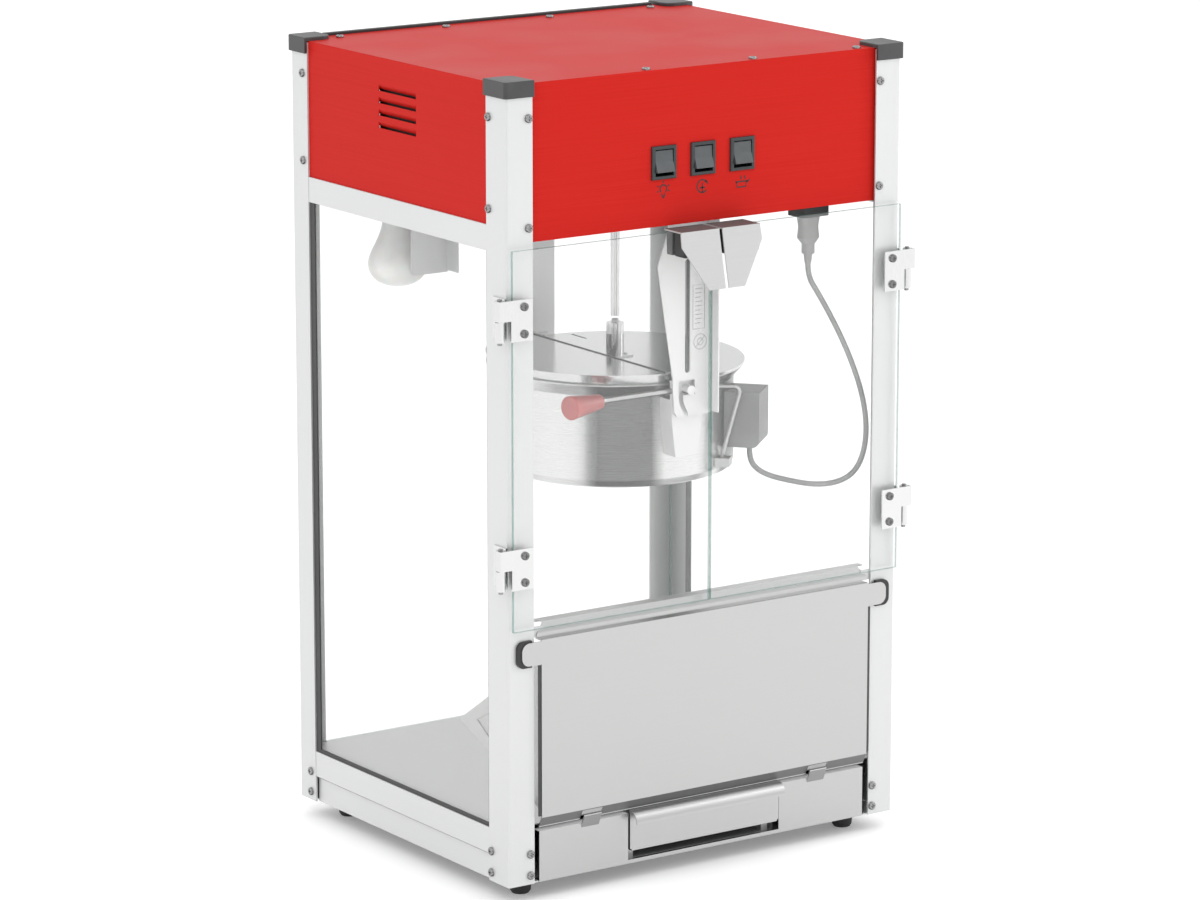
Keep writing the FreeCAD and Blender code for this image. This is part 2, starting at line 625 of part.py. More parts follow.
# -------------------------------------------------------------------- kettle
def kettle_pot():
    t = 1.2
    shell = turned([
        (0, KETTLE_Z0), (KETTLE_R - 9, KETTLE_Z0), (KETTLE_R - 2.6, KETTLE_Z0 + 2.6),
        (KETTLE_R, KETTLE_Z0 + 9), (KETTLE_R, 479), (LID_R - 0.6, 491.8),
        (LID_R - 1.9, 491.8), (KETTLE_R - t, 479.5), (KETTLE_R - t, KETTLE_Z0 + 9.4),
        (KETTLE_R - 3.4, KETTLE_Z0 + 3.5), (KETTLE_R - 9.4, KETTLE_Z0 + t), (0, KETTLE_Z0 + t)],
        KETTLE_X, 0)
    node("kettle_shell", shell)
    pot = turned([
        (0, POT_Z0), (POT_R - 10, POT_Z0), (POT_R - 2.9, POT_Z0 + 2.9), (POT_R, POT_Z0 + 10),
        (POT_R, 491.8), (LID_R - 0.6, 491.8), (LID_R - 0.6, 493.2), (POT_R - 1.5, 493.2),
        (POT_R - 1.5, POT_Z0 + 10.4), (POT_R - 4.1, POT_Z0 + 4.1), (POT_R - 10.4, POT_Z0 + 1.5),
        (0, POT_Z0 + 1.5)], KETTLE_X, 0)
    node("kettle_pot", pot)
    heater = turned([(0, POT_Z0 - 9), (92, POT_Z0 - 9), (92, POT_Z0), (0, POT_Z0)], KETTLE_X, 0)
    node("heater_plate", heater)


def lid():
    """The fixed half with the shaft's hole, and the loose half on its hinge."""
    z = LID_Z
    cover = turned([(0, z - SHEET), (LID_R - SHEET, z - SHEET), (LID_R - SHEET, 493.2),
                    (LID_R, 493.2), (LID_R, z - 0.6), (LID_R - 0.6, z), (0, z)], KETTLE_X, 0)
    cover = cover.cut(box(-200, FLAP_X - 5.5, -200, 200, 480, 510))
    cover = cover.cut(rod(STIRRER_R + 1.5, (KETTLE_X, 0, 480), "Z", 30))
    cover = cover.cut(box(54.5, 57.5, 97, 126, 480, 510))
    lugs, knuckles = [], []
    pin_z = FLAP_PIN_Z
    for y0 in (-134.0, 112.0):
        for y in (y0, y0 + 19):
            lugs.append(prism("XZ", [
                (FLAP_X - 2.2, z - 0.4), (FLAP_X + 7, z - 0.4), (FLAP_X + 7, z + 0.8),
                (FLAP_X + 2.4, pin_z + 2.4), (FLAP_X - 2.2, pin_z + 2.4)], y, y + 3))
        lugs.append(rod(1.5, (FLAP_X, y0 + 1, pin_z), "Y", 20))
        tube = rod(2.6, (FLAP_X, y0 + 3.4, pin_z), "Y", 15.2)
        strap = box(FLAP_X - 16, FLAP_X, y0 + 3.4, y0 + 18.6, pin_z + 1.4, pin_z + 2.6)
        bore = rod(1.5 + RUN, (FLAP_X, y0, pin_z), "Y", 25)
        knuckles.append(joined([tube, strap]).cut(bore))
    node("lid_fixed", joined([cover] + lugs))

    zf = z + 6.8
    skirt_r = LID_R - 6.0
    flap = turned([(0, zf), (skirt_r - SHEET, zf), (skirt_r - SHEET, 493.5), (skirt_r, 493.5),
                   (skirt_r, zf), (LID_R, zf), (LID_R, zf + SHEET), (0, zf + SHEET)], KETTLE_X, 0)
    flap = flap.cut(box(FLAP_X - 7.7, 200, -200, 200, 480, 510))
    tab = box(LID_R - 1.6, LID_R - 0.4, -9, 9, zf - 6, zf + 0.4)
    tab.rotate(V(0, 0, 0), V(0, 0, 1), 231)
    tab.translate(V(KETTLE_X, 0, 0))
    node("lid_flap", joined([flap, tab] + knuckles))


def shaft_guide():
    """The bridge on the lid that carries the stirrer's shaft."""
    x = KETTLE_X
    tube = rod(9.6, (x, 0, LID_Z), "Z", 38)
    flange = box(x - 17, x + 17, -9.6, 9.6, LID_Z, LID_Z + 1.6)
    heads = [rod(2.6, (x + side * 13.4, 0, LID_Z + 1.6), "Z", 1.6) for side in (-1, 1)]
    tube = joined([tube, flange] + heads)
    window = box(x - 15, x + 15, -5.2, 5.2, LID_Z + 6, LID_Z + 26)
    bore = rod(STIRRER_R + RUN, (x, 0, LID_Z - 1), "Z", 45)
    node("shaft_guide", tube.cut(window).cut(bore))
    shaft = rod(STIRRER_R, (x, 0, POT_Z0 + 4), "Z", STIRRER_TOP_Z - POT_Z0 - 4)
    shaft = rounded(shaft, 1.2, lambda e: abs(e.CenterOfMass.z - STIRRER_TOP_Z) < 0.01)
    z = POT_Z0 + 3.0
    hub = rod(9, (x, 0, z), "Z", 12)
    blade = prism("YZ", [(-3.5, z), (3.5, z), (0.6, z + 8), (-0.6, z + 8)], x - 104, x + 104)
    riser = box(x + 62, x + 66, -3, 3, z + 2, z + 34)
    node("stirrer", joined([shaft, hub, blade, riser]))


GRIP_TURN = math.radians(12)      # how far the grip turns forward from the lever


def pivots():
    """Brackets front and back of the kettle, each with its pivot pin."""
    parts = []
    wall = rod(KETTLE_R, (KETTLE_X, 0, 370), "Z", 130)
    face = [(-2, 498), (-2, 455), (3, 415), (32.5, 415), (37, 455), (37, 498)]
    sleeve = [(-2, 477), (-2, 455), (3, 415), (32.5, 415), (37, 455), (37, 477)]
    hollow = [(0, 480), (0, 455), (5, 417), (30.5, 417), (35, 455), (35, 480)]
    for place in ((lambda shape: shape), mirror_y):
        cheeks = prism("XZ", sleeve, -143.4, -110).cut(prism("XZ", hollow, -144, -109)).cut(wall)
        plate = prism("XZ", face, -146.8, -143.4)
        pin = rod(PIVOT_R, (PIVOT_X, -158.5, PIVOT_Z), "Y", 13)
        parts.append(place(joined([cheeks, plate, pin])))
    node("pivot_brackets", *parts)

    level = PIVOT_Z - 1
    bend = V(-86, -145.1, level)
    out = V(-math.cos(GRIP_TURN), -math.sin(GRIP_TURN), 0)
    rod_end = bend + out * 45
    node("lever_rod", swept([V(-2, bend.y, level), bend, rod_end], 3.2, [30.0])[0])
    grip_start = bend + out * 8
    grip = Part.makeCone(7.8, 13.0, 46, grip_start, out)
    grip = rounded(grip, 1.6, lambda e: len(e.Vertexes) == 1)
    node("lever_grip", grip.cut(Part.makeCylinder(3.2, 37, grip_start, out)))


def junction_box():
    """The terminal box on the kettle's side, drawn along +X and then turned."""
    shape = box(100, 164, -24, 24, 408, 468)
    shape = rounded(shape, 8.0, lambda e: abs(e.CenterOfMass.x - 164) < 0.01
                    and abs(e.CenterOfMass.z - 408) < 0.01)
    shape = shape.cut(rod(KETTLE_R, (0, 0, 380), "Z", 130))
    shape.rotate(V(0, 0, 0), V(0, 0, 1), BOX_ANGLE)
    shape.translate(V(KETTLE_X, 0, 0))
    node("junction_box", shape)


def swept(points, radius, bends):
    """A round bar along straight runs joined by tangent arcs of given radii."""
    edges = []
    last = points[0]
    for before, corner, after, bend in zip(points, points[1:], points[2:], bends):
        a = (before - corner).normalize()
        b = (after - corner).normalize()
        half = math.acos(max(-1.0, min(1.0, a * b))) / 2
        cut = bend / math.tan(half)
        start = corner + a * cut
        end = corner + b * cut
        middle_dir = (a + b).normalize()
        centre = corner + middle_dir * (bend / math.sin(half))
        edges.append(Part.LineSegment(last, start).toShape())
        edges.append(Part.Arc(start, centre - middle_dir * bend, end).toShape())
        last = end
    edges.append(Part.LineSegment(last, points[-1]).toShape())
    path = Part.Wire(edges)
    circle = Part.makeCircle(radius, points[0], points[1] - points[0])
    tube = path.makePipeShell([Part.Wire(circle)], True, True)
    return tube, path.Length


def kettle_latch():
    """The bent wire that holds the terminal box, with its foot on the kettle."""
    route = [V(84.5, -117.6, 399), V(98.5, -133.5, 477.5), V(76.8, -122.6, 478.5)]
    wire = swept(route, 2.2, [7.0])[0]
    pad = box(120, 136, -46, -30, 391, 400).cut(rod(KETTLE_R, (0, 0, 380), "Z", 60))
    pad.rotate(V(0, 0, 0), V(0, 0, 1), BOX_ANGLE)
    pad.translate(V(KETTLE_X, 0, 0))
    node("kettle_latch", joined([wire, pad]))


def hanger_arm(right_edge):
    """A tapered plate from the ceiling, with a window and a hook at its foot."""
    y0, y1 = -ARM_Y - ARM_T, -ARM_Y
    r = right_edge
    plate = prism("XZ", [
        (r, 460), (r, CEILING_Z), (-11, CEILING_Z), (-11, 662), (-25, 624), (-5, 499),
        (-5, 487), (-3, 464), (0, 460)], y0, y1)
    window = box(PIVOT_X - 13, PIVOT_X + 8, y0 - 1, y1 + 1, PIVOT_Z - PIVOT_R - 0.5, PIVOT_Z + 10)
    hook = prism("XZ", [
        (2, 485), (2, 481), (3.5, 473), (7, 466), (9.5, 462), (9.5, 456),
        (14, 456), (14, 463), (11.5, 468), (8.5, 475), (8.5, 485)], y0 - 1, y1 + 1)
    slot = box(10, 17, y0 - 1, y1 + 1, 506, 628)
    slot = rounded(slot, 3.4, lambda e: abs(e.CenterOfMass.y - (y0 + y1) / 2) < 0.01
                   and len(e.Vertexes) == 2 and abs(e.Length - ARM_T - 2) < 0.01)
    plate = plate.cut(window).cut(hook).cut(slot)
    flange = box(r - ARM_T, r, y0 - 16, y0, 462.5, CEILING_Z)
    top = box(-11, r, y1, y1 + 24, CEILING_Z - ARM_T, CEILING_Z)
    return joined([plate, flange, top])


def hanger_arms():
    node("arm_front", hanger_arm(43.0))
    node("arm_rear", mirror_y(hanger_arm(51.0)))


# ------------------------------------------------------------------ the cord
CORD_ROUTE = [           # hand-laid route from the terminal box to the plug
    V(117.5, -122.5, 408.0),
    V(117.5, -122.5, 395.0),
    V(123.5, -125.6, 383.5),
    V(136.5, -131.6, 375.0),
    V(157.0, -139.5, 368.5),
    V(183.0, -149.0, 362.0),
    V(206.0, -158.0, 362.5),
    V(222.0, -166.0, 370.5),
    V(231.5, -170.5, 386.0),
    V(236.0, -173.0, 408.0),
    V(235.5, -173.5, 434.0),
    V(231.0, -171.0, 462.0),
    V(223.0, -167.5, 489.0),
    V(212.0, -163.0, 518.0),
    V(198.0, -157.5, 548.0),
    V(184.0, -152.8, 574.0),
    V(173.0, -150.0, 592.0),
    V(173.0, -150.0, 606.0),
]


def kettle_cord():
    bends = []
    for before, corner, after in zip(CORD_ROUTE, CORD_ROUTE[1:], CORD_ROUTE[2:]):
        a, b = corner - before, after - corner
        turn = a.getAngle(b)
        bends.append(0.45 * min(a.Length, b.Length) / math.tan(turn / 2))
    tube, length = swept(CORD_ROUTE, CORD_D / 2, bends)
    node("kettle_cord", tube)
    print("cord radii", [round(r) for r in bends], "length", round(length, 1))
    print("cord volume ratio", round(tube.Volume / (math.pi * CORD_D ** 2 / 4 * length), 4))
    end = CORD_ROUTE[-1]
    x, y = OUTLET_X, OUTLET_Y
    body = Part.makeLoft([
        plug_section(x, y, 13.0, 8.0, OUTLET_Z),
        plug_section(x, y, 10.5, 7.5, OUTLET_Z - 12),
        plug_section(x, y, 12.0, 8.0, OUTLET_Z - 24),
        plug_section(x, y, 7.0, 6.5, OUTLET_Z - 30)], True, True)
    collar = rod(7.0, (x, y, OUTLET_Z - 41), "Z", 11)
    relief = Part.makeCone(3.6, 4.8, OUTLET_Z - 41 - end.z, end, V(0, 0, 1))
    node("kettle_plug", joined([body, collar, relief]))


def plug_section(x, y, half_x, half_y, z):
    """One rounded outline of the plug's moulded body."""
    points = []
    for i in range(24):
        angle = 2 * math.pi * i / 24
        c, s = math.cos(angle), math.sin(angle)
        points.append(V(x + half_x * abs(c) ** 0.6 * (1 if c > 0 else -1),
                        y + half_y * abs(s) ** 0.6 * (1 if s > 0 else -1), z))
    return Part.makePolygon(points + points[:1])


# ---------------------------------------------------------------- fasteners
def casing_screws():
    heads = []
    for z in (9.5, 32.5, 711.0, 805.0):
        heads += both_sides(screw((-HALF_W, FRONT + 32.5, z), "-X"))
        heads += both_sides(screw((-HALF_W, BACK - 22.5, z), "-X"))
        z_front = 693.0 if z == 711.0 else z
        heads += both_sides(screw((-223.0, FRONT, z_front), "-Y"))
        heads += both_sides(screw((-223.0, BACK, z), "Y"))
    for x in (-205.0, -70.0, 65.0, 200.0):
        heads.append(screw((x, 181.0, TOP_Z), "Z"))
        if x > -200:
            heads.append(screw((x, CANOPY_FRONT_Y + 7, TOP_Z), "Z"))
    node("casing_screws", *heads)


# ------------------------------------------------------------------ assembly
CORD_NODES = ("kettle_cord", "kettle_plug")


def build():
    for make in (corner_posts, post_caps, top_cover, canopy, ceiling_plate, side_rails,
                 cabinet_glass, sill_rail, base, doors, front_panel, kernel_drawer, switches,
                 lamp, outlets, gearmotor, kettle_pot, lid, shaft_guide, pivots,
                 junction_box, kettle_latch, hanger_arms, kettle_cord, casing_screws):
        make()


def write():
    os.makedirs("parts", exist_ok=True)
    machine = FreeCAD.BoundBox()
    for name, solids in NODES.items():
        if name not in CORD_NODES:
            for solid in solids:
                machine.add(solid.BoundBox)
    shift = V(-machine.Center.x, -machine.Center.y, -machine.ZMin)
    print("origin shift", [round(v, 4) for v in shift])
    for name, solids in NODES.items():
        for solid in solids:
            if not solid.isValid():
                print("INVALID", name)
        shape = solids[0] if len(solids) == 1 else Part.makeCompound(solids)
        shape = shape.copy()
        shape.translate(shift)
        shape.exportStep("parts/" + name + ".step")
    print(len(NODES), "nodes,", sum(len(s) for s in NODES.values()), "solids")


build()
write()
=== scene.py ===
"""Looks for the popcorn machine: camera, cord, floor, lights, materials and fine details.

Everything is in metres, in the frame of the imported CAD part, with +Z up and the
doors at -Y. Places are worked out from the CAD nodes' boxes.
"""
import bpy
import json
import math
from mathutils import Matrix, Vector


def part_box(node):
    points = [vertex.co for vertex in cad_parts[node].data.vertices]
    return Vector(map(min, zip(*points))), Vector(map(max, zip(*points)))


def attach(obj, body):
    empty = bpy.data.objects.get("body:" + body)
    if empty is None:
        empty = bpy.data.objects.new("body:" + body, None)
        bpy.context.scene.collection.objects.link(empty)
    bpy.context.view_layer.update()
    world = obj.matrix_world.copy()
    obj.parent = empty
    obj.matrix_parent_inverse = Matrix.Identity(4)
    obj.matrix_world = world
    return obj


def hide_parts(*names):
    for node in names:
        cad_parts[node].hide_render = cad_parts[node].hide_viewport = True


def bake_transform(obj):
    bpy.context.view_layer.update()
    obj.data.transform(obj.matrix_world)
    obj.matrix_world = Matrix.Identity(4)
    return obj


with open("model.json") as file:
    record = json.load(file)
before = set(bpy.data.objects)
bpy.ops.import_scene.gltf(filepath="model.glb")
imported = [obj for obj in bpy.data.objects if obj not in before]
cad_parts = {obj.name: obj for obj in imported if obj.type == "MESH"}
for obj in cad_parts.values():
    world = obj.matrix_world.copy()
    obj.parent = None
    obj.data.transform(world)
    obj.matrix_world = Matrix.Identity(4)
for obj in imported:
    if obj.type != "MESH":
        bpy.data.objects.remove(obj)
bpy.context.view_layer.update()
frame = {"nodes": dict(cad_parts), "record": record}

NODES = frame["nodes"]
SCENE = bpy.context.scene
MM = 0.001

POST_LOW, POST_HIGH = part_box("corner_posts")
# the middle of the cabinet, level with the foot of its posts
CENTRE = Vector(((POST_LOW.x + POST_HIGH.x) / 2, (POST_LOW.y + POST_HIGH.y) / 2, POST_LOW.z))


# -------------------------------------------------------------------- camera
CAMERA_OFFSET = Vector((-3.069, -4.471, 1.623))      # from CENTRE
CAMERA_YAW = 34.53       # degrees from +Y towards +X
CAMERA_PITCH = 12.75     # degrees below the horizon
CAMERA_LENS = 154.5      # millimetres
CAMERA_SENSOR = 36.0     # millimetres
CAMERA_REACH = 60.0      # past the far edge of the floor


def make_camera():
    data = bpy.data.cameras.new("camera")
    data.lens = CAMERA_LENS
    data.sensor_width = CAMERA_SENSOR
    data.clip_end = CAMERA_REACH
    camera = bpy.data.objects.new("camera", data)
    SCENE.collection.objects.link(camera)
    camera.location = CENTRE + CAMERA_OFFSET
    camera.rotation_euler = (math.radians(90 - CAMERA_PITCH), 0, math.radians(-CAMERA_YAW))
    SCENE.camera = camera


# ------------------------------------------------------------- node helpers
class Nodes:
    """A material's node tree, with a Principled shader at its end."""

    def __init__(self, name, **sockets):
        self.material = bpy.data.materials.new(name)
        self.material.use_nodes = True
        self.tree = self.material.node_tree
        self.shader = self.tree.nodes["Principled BSDF"]
        for key, value in sockets.items():
            label = key.replace("_", " ").title().replace("Ior", "IOR")
            self.shader.inputs[label].default_value = value

    def add(self, kind, links=None, **values):
        made = self.tree.nodes.new(kind)
        for key, value in values.items():
            setattr(made, key, value)
        for key, source in (links or {}).items():
            if hasattr(source, "links"):
                self.tree.links.new(source, made.inputs[key])
            else:
                made.inputs[key].default_value = source
        return made.outputs[0]

    def set(self, label, source):
        self.tree.links.new(source, self.shader.inputs[label])

    def coordinates(self, kind):
        return self.tree.nodes.new("ShaderNodeTexCoord").outputs[kind]

    def parts(self, vector):
        """The X, Y and Z of a vector."""
        split = self.tree.nodes.new("ShaderNodeSeparateXYZ")
        self.tree.links.new(vector, split.inputs[0])
        return split.outputs

    def from_centre_line(self, node):
        """Object coordinates, with X and Y measured from a CAD node's vertical centre line."""
        low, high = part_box(node)
        centre = (low + high) / 2
        return self.add("ShaderNodeVectorMath", {
            0: self.coordinates("Object"), 1: (centre.x, centre.y, 0)}, operation="SUBTRACT")

    def noise(self, scale, detail):
        """Noise whose frequency along each axis is given by the scale."""
        place = self.add("ShaderNodeMapping", {"Vector": self.coordinates("Object"), "Scale": scale})
        return self.add("ShaderNodeTexNoise", {
            "Vector": place, "Scale": 1.0, "Detail": detail, "Roughness": 0.55})

    def ramp(self, factor, low, high, start=0.0, end=1.0, gain=1.0):
        """A value or colour that goes from low to high as the factor goes from start to end."""
        if gain != 1.0:
            factor = self.add("ShaderNodeMath", {0: factor, 1: gain}, operation="MULTIPLY")
        if isinstance(low, (int, float)):
            return self.add("ShaderNodeMapRange", {
                "Value": factor, "From Min": start, "From Max": end, "To Min": low, "To Max": high})
        made = self.tree.nodes.new("ShaderNodeValToRGB")
        self.tree.links.new(factor, made.inputs[0])
        made.color_ramp.elements[0].position = start
        made.color_ramp.elements[0].color = (*low, 1)
        made.color_ramp.elements[1].position = end
        made.color_ramp.elements[1].color = (*high, 1)
        return made.outputs[0]

    def normal_part(self, axis):
        """One part of the surface's own normal, from -1 to 1."""
        return self.parts(self.coordinates("Normal"))["XYZ".index(axis)]

    def tint(self, colour, by, start, end, low):
        """A colour scaled by low where a value is at start, up to its full strength at end."""
        level = self.ramp(by, low, 1.0, start, end)
        mixed = self.tree.nodes.new("ShaderNodeVectorMath")
        mixed.operation = "SCALE"
        self.tree.links.new(colour, mixed.inputs[0])
        self.tree.links.new(level, mixed.inputs["Scale"])
        return mixed.outputs[0]

    def bump(self, height, distance, strength):
        made = self.add("ShaderNodeBump", {
            "Height": height, "Distance": distance, "Strength": strength})
        self.set("Normal", made)


def grey(level):
    return (level, level, level)


def shade(colour, factor):
    return tuple(min(1.0, c * factor) for c in colour)


# ----------------------------------------------------------------- materials
BRUSHED_UP = (2500, 2500, 12)        # noise frequencies along X, Y and Z: lines run where it is low
BRUSHED_BACK = (2500, 9, 2500)
BRUSHED_ACROSS = (12, 2500, 2500)
HEAD_DEPTH = 2.2 * MM                # the hinge screws' heads, from their fronts
PAINTED_REFLECTION_BANDS = 5                       # painted reflection: dark bands round the kettle's wall
PAINTED_REFLECTION_TURN = -150                # degrees from +Y towards +X to the middle of one painted dark band


def brushed_metal(name, colour, grain, roughness, metallic=1.0, heads_y=None):
    """Metal with fine brush lines and painted shade on its downward faces; grain is the noise frequency on
    each axis.

    Screw heads that stand in front of the plane heads_y come out darker.
    """
    m = Nodes(name, metallic=metallic)
    fine = m.noise(grain, detail=2.0)
    cloud = m.noise((4, 4, 4), detail=2.0)
    both = m.add("ShaderNodeMath", {0: fine, 1: cloud}, operation="ADD")
    body = m.ramp(both, shade(colour, 0.98), shade(colour, 1.02), 0.35, 0.65, gain=0.5)
    if heads_y is not None:
        y = m.parts(m.coordinates("Object"))[1]
        body = m.tint(body, y, heads_y - 0.1 * MM, heads_y, 0.3)
    # painted shade: the colour falls to 0.12 of itself on faces that point downwards
    m.set("Base Color", m.tint(body, m.normal_part("Z"), -0.6, -0.2, 0.12))
    m.set("Roughness", m.ramp(both, roughness - 0.04, roughness + 0.04, 0.7, 1.3))
    m.bump(fine, 0.012 * MM, 0.4)
    return m.material


def round_brushed(name, colour, node, roughness, contrast):
    """Metal brushed in circles about a node's vertical centre line."""
    m = Nodes(name, metallic=1.0)
    at = m.from_centre_line(node)
    flat = m.add("ShaderNodeVectorMath", {0: at, 1: (1, 1, 0)}, operation="MULTIPLY")
    length = m.tree.nodes.new("ShaderNodeVectorMath")
    length.operation = "LENGTH"
    m.tree.links.new(flat, length.inputs[0])
    rings = m.add("ShaderNodeCombineXYZ", {0: length.outputs["Value"], 1: m.parts(at)[2]})
    fine = m.add("ShaderNodeTexNoise", {"Vector": rings, "Scale": 1600.0, "Detail": 2.0})
    m.set("Base Color", m.ramp(fine, shade(colour, 1 - contrast), shade(colour, 1 + contrast), 0.3, 0.7))
    m.set("Roughness", m.ramp(fine, roughness - 0.03, roughness + 0.04, 0.3, 0.7))
    m.bump(fine, 0.01 * MM, 0.3)
    return m.material


def kettle_wall():
    """The kettle's drawn side: polished steel with painted reflections, soft dark upright bands all round
    it.
    """
    m = Nodes("kettle_wall", metallic=1.0)
    x, y = m.parts(m.from_centre_line("kettle_pot"))[:2]
    turn = m.add("ShaderNodeMath", {0: x, 1: y}, operation="ARCTAN2")
    reflection_wave = m.add("ShaderNodeMath", {0: turn, 1: math.radians(PAINTED_REFLECTION_TURN)}, operation="SUBTRACT")
    reflection_wave = m.add("ShaderNodeMath", {0: reflection_wave, 1: PAINTED_REFLECTION_BANDS}, operation="MULTIPLY")
    reflection_wave = m.add("ShaderNodeMath", {0: reflection_wave}, operation="COSINE")
    fine = m.noise((40, 40, 4000), detail=2.0)
    body = m.ramp(fine, grey(0.66), grey(0.68), 0.3, 0.7)
    # painted reflection: the colour falls to 0.22 of itself in the middle of each dark band
    m.set("Base Color", m.tint(body, reflection_wave, 0.45, -0.15, 0.22))
    m.set("Roughness", m.ramp(fine, 0.26, 0.32, 0.3, 0.7))
    m.bump(fine, 0.005 * MM, 0.2)
    return m.material


def pull_steel():
    """The doors' pulls: satin grey, with a painted dark reflection on their upper faces."""
    m = Nodes("pull_steel", specular_ior_level=0.2)
    fine = m.noise(BRUSHED_ACROSS, detail=2.0)
    body = m.ramp(fine, grey(0.50), grey(0.53), 0.3, 0.7)
    # painted reflection: faces that point upwards are darkened to 0.25 of the colour
    m.set("Base Color", m.tint(body, m.normal_part("Z"), 0.9, 0.5, 0.25))
    m.set("Roughness", m.ramp(fine, 0.5, 0.56, 0.3, 0.7))
    m.bump(fine, 0.012 * MM, 0.3)
    return m.material


def red_paint():
    """The canopy's paint: faint level lines and a slight orange peel."""
    m = Nodes("red_paint", specular_ior_level=0.05)
    brush = m.noise((6, 6, 1400), detail=2.0)
    peel = m.noise((900, 900, 900), detail=1.0)
    m.set("Base Color", m.ramp(brush, (0.50, 0.014, 0.010), (0.54, 0.019, 0.014), 0.3, 0.7))
    m.set("Roughness", m.ramp(brush, 0.34, 0.44, 0.3, 0.7))
    both = m.add("ShaderNodeMath", {0: brush, 1: peel}, operation="ADD")
    m.bump(both, 0.03 * MM, 0.4)
    return m.material


def moulded(name, colour, roughness, **sockets):
    """Plastic or rubber with a fine moulded grain and slightly uneven gloss."""
    m = Nodes(name, **sockets)
    fine = m.noise((1500, 1500, 1500), detail=2.0)
    cloud = m.noise((25, 25, 25), detail=3.0)
    m.set("Base Color", m.ramp(cloud, shade(colour, 0.85), shade(colour, 1.18), 0.35, 0.65))
    m.set("Roughness", m.ramp(cloud, roughness - 0.06, roughness + 0.06, 0.3, 0.7))
    m.bump(fine, 0.08 * MM, 0.5)
    return m.material


def pane(name, axis, veil, tint, edge):
    """Clear sheet glass: a faint veil on its faces and a green body in its cut edges."""
    m = Nodes(name, roughness=0.03, ior=1.5, specular_ior_level=0.3)
    face = m.add("ShaderNodeMath", {0: m.normal_part(axis)}, operation="ABSOLUTE")
    smear = m.noise((9, 9, 4), detail=3.0)
    clear = m.ramp(smear, veil * 0.85, veil * 1.15, 0.3, 0.7)
    m.set("Alpha", m.add("ShaderNodeMix", {"Factor": face, 2: 0.6, 3: clear}, data_type="FLOAT"))
    m.set("Base Color", m.ramp(face, edge, tint, 0.4, 0.6))
    return m.material


def frosted_bulb():
    """The lamp's milky glass."""
    m = Nodes("bulb_glass", roughness=0.3, subsurface_weight=0.3, subsurface_scale=0.01, alpha=0.85)
    cloud = m.noise((60, 60, 60), detail=3.0)
    m.set("Base Color", m.ramp(cloud, (0.82, 0.82, 0.80), (0.93, 0.93, 0.91), 0.3, 0.7))
    m.bump(cloud, 0.05 * MM, 0.3)
    return m.material


def make_materials():
    light = (0.64, 0.645, 0.645)
    hinge_heads_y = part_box("hinge_leaves_left")[0].y + HEAD_DEPTH
    glass = {"veil": 0.07, "tint": (0.93, 0.95, 0.94), "edge": (0.09, 0.26, 0.22)}
    return {
        "post_metal": brushed_metal("post_metal", light, BRUSHED_UP, 0.42, 0.5),
        "rail_metal": brushed_metal("rail_metal", light, BRUSHED_BACK, 0.42, 0.5),
        "stainless": brushed_metal("stainless", grey(0.50), BRUSHED_ACROSS, 0.34),
        "hinge_steel": brushed_metal("hinge_steel", grey(0.66), (1800, 1800, 30), 0.26,
                                     heads_y=hinge_heads_y),
        "kettle_steel": round_brushed("kettle_steel", grey(0.60), "kettle_pot", 0.16, 0.03),
        "pot_aluminium": round_brushed("pot_aluminium", grey(0.60), "kettle_pot", 0.4, 0.05),
        "screw_steel": brushed_metal("screw_steel", grey(0.3), (300, 300, 300), 0.25),
        "arm_steel": brushed_metal("arm_steel", grey(0.76), BRUSHED_ACROSS, 0.5, 0.4),
        "kettle_wall": kettle_wall(),
        "pull_steel": pull_steel(),
        "red_paint": red_paint(),
        "cap_plastic": moulded("cap_plastic", (0.045, 0.045, 0.047), 0.4),
        "black_trim": moulded("black_trim", (0.02, 0.02, 0.021), 0.45),
        "gasket": moulded("gasket", grey(0.05), 0.6),
        "foot_rubber": moulded("foot_rubber", grey(0.02), 0.62),
        "switch_black": moulded("switch_black", (0.022, 0.028, 0.03), 0.35),
        "rocker_grey": moulded("rocker_grey", (0.075, 0.082, 0.086), 0.34),
        "grip_red": moulded("grip_red", (0.47, 0.09, 0.085), 0.34, coat_weight=0.3),
        "box_plastic": moulded("box_plastic", grey(0.25), 0.5),
        "outlet_black": moulded("outlet_black", grey(0.02), 0.45),
        "cord_rubber": moulded("cord_rubber", grey(0.28), 0.5),
        "motor_paint": moulded("motor_paint", (0.08, 0.08, 0.085), 0.4),
        "socket_ceramic": moulded("socket_ceramic", (0.8, 0.79, 0.76), 0.25),
        "bulb_glass": frosted_bulb(),
        "clear_glass": pane("clear_glass", "X", **glass),
        "front_glass": pane("front_glass", "Y", **glass),
    }


def dress(materials):
    """Gives every CAD node its own material, or else that of its slot in the record."""
    own = {
        "door_glass_left": "front_glass",
        "door_glass_right": "front_glass",
        "back_glass": "front_glass",
        "kettle_outlet": "outlet_black",
        "kettle_shell": "kettle_wall",
        "handle_left": "pull_steel",
        "handle_right": "pull_steel",
        "arm_front": "arm_steel",
        "arm_rear": "arm_steel",
        "pivot_brackets": "arm_steel",
        "drive_shaft": "hinge_steel",
    }
    for part in frame["record"]["subparts"]:
        node = NODES[part["node"]]
        name = own.get(part["node"], part["material_slot"])
        for i in range(len(node.data.materials)):
            node.data.materials[i] = materials[name]


# ---------------------------------------------------------------- mesh tools
def add_mesh(name, points, faces, material, body):
    mesh = bpy.data.meshes.new(name)
    mesh.from_pydata(points, [], faces)
    mesh.update()
    mesh.materials.append(material)
    piece = bpy.data.objects.new(name, mesh)
    SCENE.collection.objects.link(piece)
    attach(piece, body)
    return piece


